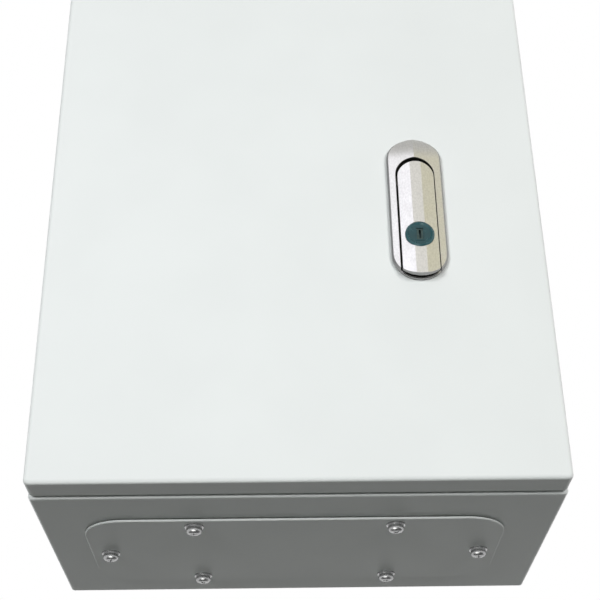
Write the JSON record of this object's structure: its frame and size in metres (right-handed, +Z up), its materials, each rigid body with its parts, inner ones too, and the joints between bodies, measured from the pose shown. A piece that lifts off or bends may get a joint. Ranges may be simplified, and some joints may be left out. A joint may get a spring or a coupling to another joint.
{
  "type": "electrical panel box",
  "caption": "Wall-mounted folded-steel electrical panel box with a hinged door, lift-and-turn key lock, inner mounting plate and a screwed gland plate underneath.",
  "frame": {"origin": "centre of the four wall holes, on the outer face of the back wall", "axes": "+Z up along the box's height, +X to the right seen from the front, +Y out of the back into the wall, so the door faces -Y"},
  "size_m": [0.303, 0.2004, 0.4075],
  "materials": {
    "powder_coat": "fine-textured semi-matt light grey",
    "galvanised_steel": "spangled zinc",
    "zinc_plated_steel": "bright zinc",
    "satin_die_cast": "satin silver",
    "sealing_foam": "matt closed-cell foam",
    "black_plastic": "dull black",
    "key_cap_plastic": "glossy dark teal",
    "key_metal": "dull worn metal"
  },
  "bodies": {
    "enclosure": {"enclosure_body": "powder_coat", "gland_plate": "powder_coat", "gland_gasket": "sealing_foam", "gland_screws": "zinc_plated_steel", "gland_washers": "zinc_plated_steel", "gland_spring_washers": "zinc_plated_steel", "mounting_plate": "galvanised_steel", "mounting_studs": "zinc_plated_steel", "mounting_washers": "zinc_plated_steel", "mounting_nuts": "zinc_plated_steel", "upper_hinge_body_bracket": "zinc_plated_steel", "lower_hinge_body_bracket": "zinc_plated_steel", "body_earth_stud": "zinc_plated_steel", "body_earth_nut": "zinc_plated_steel"},
    "door": {"door_panel": "powder_coat", "door_gasket": "sealing_foam", "upper_hinge_door_bracket": "zinc_plated_steel", "lower_hinge_door_bracket": "zinc_plated_steel", "upper_hinge_pin": "zinc_plated_steel", "lower_hinge_pin": "zinc_plated_steel", "door_earth_stud": "zinc_plated_steel", "door_earth_nut": "zinc_plated_steel", "lock_housing": "satin_die_cast", "channel_liner": "black_plastic", "lock_gasket": "sealing_foam", "lock_bracket": "zinc_plated_steel", "lock_bracket_screws": "zinc_plated_steel"},
    "lock_spindle": {"lock_spindle": "zinc_plated_steel", "spindle_clip": "zinc_plated_steel", "lock_cam": "zinc_plated_steel", "cam_washer": "zinc_plated_steel", "cam_screw": "zinc_plated_steel"},
    "lock_handle": {"lock_handle": "satin_die_cast", "handle_pin": "zinc_plated_steel"},
    "key_cylinder": {"key_cap": "key_cap_plastic", "key_plug": "key_metal"}
  },
  "joints": [
    {"name": "door_hinge", "type": "hinge", "parent": "enclosure", "child": "door", "pos_m": [-0.1452, -0.178, 0], "axis": [0, 0, -1], "range_deg": [0, 110]},
    {"name": "handle_swing", "type": "hinge", "parent": "door", "child": "lock_spindle", "pos_m": [0.0743, -0.19, -0.0025], "axis": [0, 1, 0], "range_deg": [0, 90]},
    {"name": "handle_lift", "type": "hinge", "parent": "lock_spindle", "child": "lock_handle", "pos_m": [0.0743, -0.1945, -0.0025], "axis": [-1, 0, 0], "range_deg": [0, 35]},
    {"name": "key_turn", "type": "hinge", "parent": "lock_handle", "child": "key_cylinder", "pos_m": [0.0743, -0.197, -0.046], "axis": [0, 1, 0], "range_deg": [0, 90]}
  ]
}
